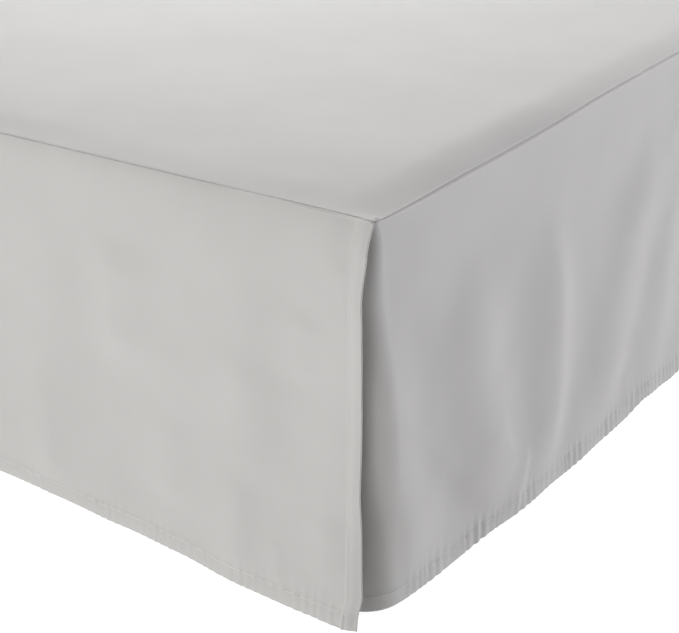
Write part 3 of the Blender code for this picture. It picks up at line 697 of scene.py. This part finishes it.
def microfibre():
    mat, nodes, links, shader = new_material("Grey microfibre", CLOTH_COLOUR, 0.82)
    coords = nodes.new("ShaderNodeTexCoord")
    uv = nodes.new("ShaderNodeUVMap")
    uv.uv_map = "Weave"
    mottle = noise(nodes, links, coords.outputs["Object"], 14.0, 3.0)
    dark, light = (tuple(c * share for c in CLOTH_COLOUR) for share in (1 - CLOTH_MOTTLE, 1 + CLOTH_MOTTLE))
    links.new(ramp(nodes, links, mottle, dark, light), shader.inputs["Base Color"])
    shader.inputs["Sheen Weight"].default_value = 0.12
    shader.inputs["Sheen Roughness"].default_value = 0.55
    shader.inputs["Specular IOR Level"].default_value = 0.25
    slub = noise(nodes, links, coords.outputs["Object"], 620.0, 1.0)
    first = bump(nodes, links, weave(nodes, links, uv.outputs["UV"], WEAVE_PERIOD), 0.00006, 0.35)
    links.new(bump(nodes, links, slub, 0.00012, 0.25, first), shader.inputs["Normal"])
    return mat


# tint and grain are a noise's (scale, detail), and relief is the grain's (height, strength).
Finish = namedtuple("Finish", "name colour roughness metallic tint dark light grain relief")
THREAD = Finish("Polyester thread", (0.70, 0.695, 0.69), 0.5, 0.0,
                (1500.0, 1.0), (0.66, 0.655, 0.65), (0.74, 0.735, 0.73), (1500.0, 1.0), (0.0001, 0.4))
TICKING = Finish("Box spring ticking", (0.40, 0.39, 0.37), 0.9, 0.0,
                 (9.0, 4.0), (0.37, 0.36, 0.34), (0.43, 0.42, 0.40), (900.0, 2.0), (0.0002, 0.5))
DUST_COVER = Finish("Black dust cover", (0.035, 0.035, 0.037), 0.95, 0.0,
                    (400.0, 3.0), (0.028, 0.028, 0.030), (0.046, 0.046, 0.048), (400.0, 3.0), (0.0003, 0.4))
STEEL = Finish("Black painted steel", (0.030, 0.030, 0.032), 0.42, 0.2,
               (22.0, 4.0), (0.024, 0.024, 0.026), (0.040, 0.040, 0.042), (700.0, 2.0), (0.0002, 0.35))


def grained(finish):
    """A material with soft clouds in its colour and a fine grain on its surface."""
    mat, nodes, links, shader = new_material(finish.name, finish.colour, finish.roughness, finish.metallic)
    place = nodes.new("ShaderNodeTexCoord").outputs["Object"]
    tint = noise(nodes, links, place, *finish.tint)
    links.new(ramp(nodes, links, tint, finish.dark, finish.light), shader.inputs["Base Color"])
    grain = noise(nodes, links, place, *finish.grain)
    links.new(bump(nodes, links, grain, *finish.relief), shader.inputs["Normal"])
    return mat


# ---------------------------------------------------------------- the skirt's pieces
def make_deck(cloth, yarn):
    # from -1 to 0 the cloth turns under into the seam's groove
    edge = ladder(-1.0, (0.0, 0.2), (0.0008, 0.0002), (0.004, 0.0006), (0.008, 0.0013), (0.016, 0.002))
    half = ladder(*edge[-1:], (SIDE_ROLL, 0.006), (0.300, 0.014), (SIDE_X, 0.033))
    half = np.concatenate([edge, half[1:]])
    inside_x = np.concatenate([half, half[-2::-1]])
    side = np.concatenate([-np.ones(len(half)), np.ones(len(half) - 1)])
    hem_start = DECK_LENGTH - EDGE_HEM_WIDTH
    rows = ladder(*edge[-1:], (FOOT_ROLL, 0.008), (0.400, 0.014), (1.900, 0.032),
                  (hem_start - HEM_STEP, 0.010), (hem_start, HEM_STEP), (hem_start + 0.004, 0.004),
                  (DECK_LENGTH - 0.001, 0.010), (DECK_LENGTH, 0.001))
    inside_foot = np.concatenate([edge, rows[1:]])
    points = deck_point(inside_x[:, None], side[:, None], inside_foot[None, :])
    hem = np.where(inside_foot >= hem_start - TINY, 1.0, 0.0)[None, :]
    sheet = cloth_sheet("deck_cloth", points, hem, points[..., :2], cloth)
    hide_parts("skirt_deck")

    def place(x, inside):
        return deck_point(SIDE_X - np.abs(x), np.sign(x), inside)

    across = np.linspace(-SIDE_X + 0.006, SIDE_X - 0.006, 500)
    line = stitch_line(place, across, np.full_like(across, hem_start + HEM_STITCH_INSET), (0, 0, 1))
    stitches = stitch_rows("deck_hem_stitches", [line], yarn)


def panel_depths(spacing):
    hem_edge = SKIRT_DROP - HEM_WIDTH
    return ladder(0.0, (0.0012, 0.0002), (0.0036, 0.0006), (0.010, 0.0013), (hem_edge - 0.006, spacing),
                  (hem_edge - HEM_STEP, 0.0025), (hem_edge, HEM_STEP), (hem_edge + 0.003, 0.0015),
                  (SKIRT_DROP - 0.001, 0.003), (SKIRT_DROP, 0.001))


def in_bottom_hem(depths):
    return (depths >= SKIRT_DROP - HEM_WIDTH - TINY)[None, :]


def make_side(name, node, side, folds, flare, creases, spacing, cloth, yarn):
    fine, coarse, down = spacing
    # stations as in side_point, finely spaced up to 0.62 m past the first stretch
    hem_station = EDGE_HEM_WIDTH / RETURN_LENGTH
    last = 3.0 + DECK_LENGTH - NEAR_CORNER
    head_hem = last - EDGE_HEM_WIDTH
    stations = ladder(0.0, (hem_station, 0.04), (1.0, 0.09), (2.0, 0.05), (3.0, 0.045), (3.62, fine),
                      (head_hem - HEM_STEP, coarse), (head_hem, HEM_STEP), (last, 0.004))
    depths = panel_depths(down)

    def place(station, depth):
        return side_point(folds, flare, creases, station, depth) * np.array([side, 1.0, 1.0])

    points = place(stations[:, None], depths[None, :])
    at_end = (stations <= hem_station + TINY) | (stations >= head_hem - TINY)
    hem = np.where(at_end[:, None] | in_bottom_hem(depths), 1.0, 0.0)
    length = np.concatenate([[0.0], np.cumsum(np.linalg.norm(np.diff(points[:, -1], axis=0), axis=1))])
    flat = np.stack(np.broadcast_arrays(length[:, None], depths[None, :]), -1)
    if side < 0:
        points, hem, flat = points[::-1], hem[::-1], flat[::-1]
    sheet = cloth_sheet(name, points, hem, flat, cloth)
    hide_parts(node)
    seen = np.concatenate([np.arange(0.02, 3.0, 0.01), np.arange(3.0, last - 0.004, 0.004)])
    down_edge = np.linspace(0.01, SKIRT_DROP - 0.004, 100)
    away = (side, -0.2, 0)
    lines = [stitch_line(place, seen, np.full_like(seen, HEM_STITCH_DEPTH), away),
             stitch_line(place, np.full_like(down_edge, last - EDGE_STITCH_GAP), down_edge, away)]
    stitches = stitch_rows(name + "_stitches", lines, yarn)


def make_foot(cloth, yarn):
    edge = SIDE_X - FOOT_EDGE_INSET
    hem = EDGE_HEM_WIDTH
    gaps = ladder(0.0, (0.001, 0.001), (hem - 0.0022, 0.0024), (hem, 0.0011), (hem + 0.004, 0.0005),
                  (0.060, 0.0020), (0.330, 0.0024), (0.560, 0.0040))
    left_gaps = ladder(0.0, (0.001, 0.001), (hem, 0.0030), (hem + HEM_STEP, HEM_STEP), (0.060, 0.0040))
    middle = steps(-edge + left_gaps[-1], edge - gaps[-1], 0.008)[:-1]
    columns = np.concatenate([-edge + left_gaps, middle, edge - gaps[::-1]])
    depths = panel_depths(FOOT_SPACING_DOWN)
    points = foot_point(columns[:, None], depths[None, :])
    at_edge = np.clip(1.0 - (edge - hem - np.abs(columns)) / HEM_STEP, 0.0, 1.0)
    share = np.where(in_bottom_hem(depths), 1.0, at_edge[:, None])
    flat = np.stack(np.broadcast_arrays(columns[:, None], depths[None, :]), -1)
    sheet = cloth_sheet("foot_panel_cloth", points, share, flat, cloth)
    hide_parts("skirt_foot_panel")
    across = np.linspace(-edge + 0.003, edge - 0.003, 600)
    down = np.linspace(0.012, SKIRT_DROP - 0.003, 200)
    away = (0, -1, 0)
    lines = [stitch_line(foot_point, across, np.full_like(across, HEM_STITCH_DEPTH), away)]
    for x in (edge - EDGE_STITCH_GAP, -edge + EDGE_STITCH_GAP):
        lift = HEM_CLOTH / 2 - EDGE_STITCH_SINK
        lines.append(stitch_line(foot_point, np.full_like(down, x), down, away, lift))
    stitches = stitch_rows("foot_panel_stitches", lines, yarn)


# ---------------------------------------------------------------- box spring and frame
COVER_GAP = 0.0010           # the box spring's top lies this and one cloth below DECK_Z
PIPING = 0.0035              # radius of the piping
TOP_BORDER = 0.030           # upper piping below the top
LOW_BORDER = 0.010           # lower piping above the underside
ABOVE_PIPING = 0.0022        # the padded edge meets the piping this far inside the outline
SIDE_INSET = 0.0034          # the sides lie this far inside it
SIDE_CROWN = 0.0014          # they bulge by this much between the two pipings
# The padded top edge: (distance inside the outline, depth below the top).
TOP_RINGS = [(0.090, 0.0), (0.060, 0.0008), (0.032, 0.0036), (0.016, 0.0064), (0.008, 0.0092),
             (0.003, 0.0140)]


def box_profile(top, bottom):
    """(distance inside the outline, height) from the middle of the top down to the underside."""
    upper, lower = top - TOP_BORDER, bottom + LOW_BORDER

    def piping(centre):
        turns = [math.radians(a) for a in range(15, 180, 30)]
        return [(PIPING - PIPING * math.sin(a), centre + PIPING * math.cos(a)) for a in turns]

    start, end = upper - PIPING, lower + PIPING
    border = [(SIDE_INSET - SIDE_CROWN * math.sin(math.pi * share), start + (end - start) * share)
              for share in (0.06, 0.2, 0.5, 0.8, 0.94)]
    over = [(inside, top - depth) for inside, depth in TOP_RINGS] + [(ABOVE_PIPING, upper + PIPING)]
    return over + piping(upper) + border + piping(lower) + [(0.004, bottom + 0.003), (0.010, bottom)]


def make_box_spring(fabric, cover):
    """Upholstered box: soft top edge, piping round the top and bottom, black cloth underneath."""
    low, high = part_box("box_spring")
    half = Vector(((high.x - low.x) / 2, (high.y - low.y) / 2))
    middle = (low + high) / 2
    outline = []
    for cx, cy, first in ((1, 1, 0), (-1, 1, 90), (-1, -1, 180), (1, -1, 270)):
        for turn in range(0, 91, 15):
            angle = math.radians(first + turn)
            outline.append(((half.x - BOX_CORNER) * cx, (half.y - BOX_CORNER) * cy,
                            math.cos(angle), math.sin(angle)))
    bm = bmesh.new()
    rings = []
    for inside, z in box_profile(DECK_Z - CLOTH - COVER_GAP, low.z):
        ring = []
        for x, y, ax, ay in outline:
            reach = BOX_CORNER - min(inside, BOX_CORNER)
            extra = max(inside - BOX_CORNER, 0.0)
            px = x + ax * reach - math.copysign(extra, x)
            py = y + ay * reach - math.copysign(extra, y)
            ring.append(bm.verts.new((middle.x + px, middle.y + py, z)))
        rings.append(ring)
    count = len(outline)
    for above, below in zip(rings, rings[1:]):
        for k in range(count):
            after = (k + 1) % count
            bm.faces.new((above[k], below[k], below[after], above[after]))
    bm.faces.new(rings[0])
    underside = bm.faces.new(rings[-1][::-1])
    underside.material_index = 1
    for face in bm.faces:
        face.smooth = len(face.verts) == 4
    bmesh.ops.recalc_face_normals(bm, faces=bm.faces)
    bmesh.ops.remove_doubles(bm, verts=bm.verts, dist=0.0001)
    mesh = bpy.data.meshes.new("box_spring_cover")
    bm.to_mesh(mesh)
    bm.free()
    cover_piece = add_object("box_spring_cover", mesh, fabric)
    mesh.materials.append(cover)
    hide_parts("box_spring")


def finish_bed_frame(paint):
    for name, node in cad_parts.items():
        if name.startswith(("rail_", "cross_bar_", "leg_")):
            node.data.materials.clear()
            node.data.materials.append(paint)


# ---------------------------------------------------------------- studio
# Azimuth 0 is in front of the foot (-Y) and 90 at the right-hand side (+X), in degrees.
Lamp = namedtuple("Lamp", "name azimuth elevation power colour")
LAMPS = [
    Lamp("Front left", -20, 20, 366.0, (1.0, 0.99, 0.97)),
    Lamp("Right back", 140, 14, 415.0, (0.99, 0.98, 1.0)),
    Lamp("Left back", -140, 30, 606.0, (1.0, 1.0, 1.0)),
    Lamp("Low front", 0, 6, 66.0, (1.0, 0.99, 0.97)),
]
LAMP_DISTANCE = 7.0
LAMP_WIDTH = 3.0
AIM = Vector((SIDE_X, FOOT_Y, 0.25))
FLOOR_SIZE = 24.0
FLOOR_GREY = 0.25
FLOOR_GLOW = 0.94            # lifts the floor to the photo's white ground
WORLD_LIGHT = 0.02
VIEW_GAMMA = 0.8
# The camera's place, tilt and turn were solved from the photo's vanishing points.
CAMERA_PLACE = (SIDE_X + 0.58660, FOOT_Y - 0.93110, SEAM_Z + 0.425)
CAMERA_TILT = 24.94          # degrees below level
CAMERA_TURN = 33.73          # degrees to the left of the bed's length
SENSOR_WIDTH = 36.0          # both in mm
LENS = 74.86


def add_lamp(lamp):
    azimuth, elevation = math.radians(lamp.azimuth), math.radians(lamp.elevation)
    away = Vector((math.sin(azimuth) * math.cos(elevation), -math.cos(azimuth) * math.cos(elevation),
                   math.sin(elevation)))
    light = bpy.data.lights.new(lamp.name, "AREA")
    light.shape = "DISK"
    light.size = LAMP_WIDTH
    light.energy = lamp.power
    light.color = lamp.colour
    item = bpy.data.objects.new(lamp.name, light)
    item.location = AIM + away * LAMP_DISTANCE
    item.rotation_euler = (-away).to_track_quat("-Z", "Y").to_euler()
    bpy.context.scene.collection.objects.link(item)


def make_floor():
    mat, _, _, shader = new_material("Pale studio floor", (FLOOR_GREY, FLOOR_GREY, FLOOR_GREY), 0.9)
    shader.inputs["Specular IOR Level"].default_value = 0.0
    shader.inputs["Emission Color"].default_value = (1.0, 1.0, 1.0, 1.0)
    shader.inputs["Emission Strength"].default_value = FLOOR_GLOW
    mesh = bpy.data.meshes.new("studio_floor")
    s = FLOOR_SIZE / 2
    mesh.from_pydata([(-s, -s, 0), (s, -s, 0), (s, s, 0), (-s, s, 0)], [], [(0, 1, 2, 3)])
    mesh.materials.append(mat)
    floor = bpy.data.objects.new("studio_floor", mesh)
    bpy.context.scene.collection.objects.link(floor)


def make_world():
    world = bpy.data.worlds.new("Studio")
    world.use_nodes = True
    background = world.node_tree.nodes["Background"]
    background.inputs["Color"].default_value = (1.0, 1.0, 1.0, 1.0)
    background.inputs["Strength"].default_value = WORLD_LIGHT
    bpy.context.scene.world = world


def make_camera():
    camera = bpy.data.cameras.new("Camera")
    camera.sensor_width = SENSOR_WIDTH
    camera.lens = LENS
    camera.clip_end = 60.0
    item = bpy.data.objects.new("Camera", camera)
    item.location = CAMERA_PLACE
    item.rotation_euler = (math.radians(90 - CAMERA_TILT), 0.0, math.radians(CAMERA_TURN))
    bpy.context.scene.collection.objects.link(item)
    bpy.context.scene.camera = item


def main():
    bpy.context.scene.view_settings.view_transform = "Standard"
    bpy.context.scene.view_settings.gamma = VIEW_GAMMA
    cloth, yarn = microfibre(), grained(THREAD)
    make_deck(cloth, yarn)
    make_foot(cloth, yarn)
    make_side("side_right_cloth", "skirt_side_right", 1, RIGHT_FOLDS, RIGHT_FLARE, RIGHT_CREASES,
              RIGHT_SPACING, cloth, yarn)
    make_side("side_left_cloth", "skirt_side_left", -1, LEFT_FOLDS, LEFT_FLARE, [],
              LEFT_SPACING, cloth, yarn)
    make_box_spring(grained(TICKING), grained(DUST_COVER))
    finish_bed_frame(grained(STEEL))
    make_floor()
    make_world()
    for lamp in LAMPS:
        add_lamp(lamp)
    make_camera()


main()
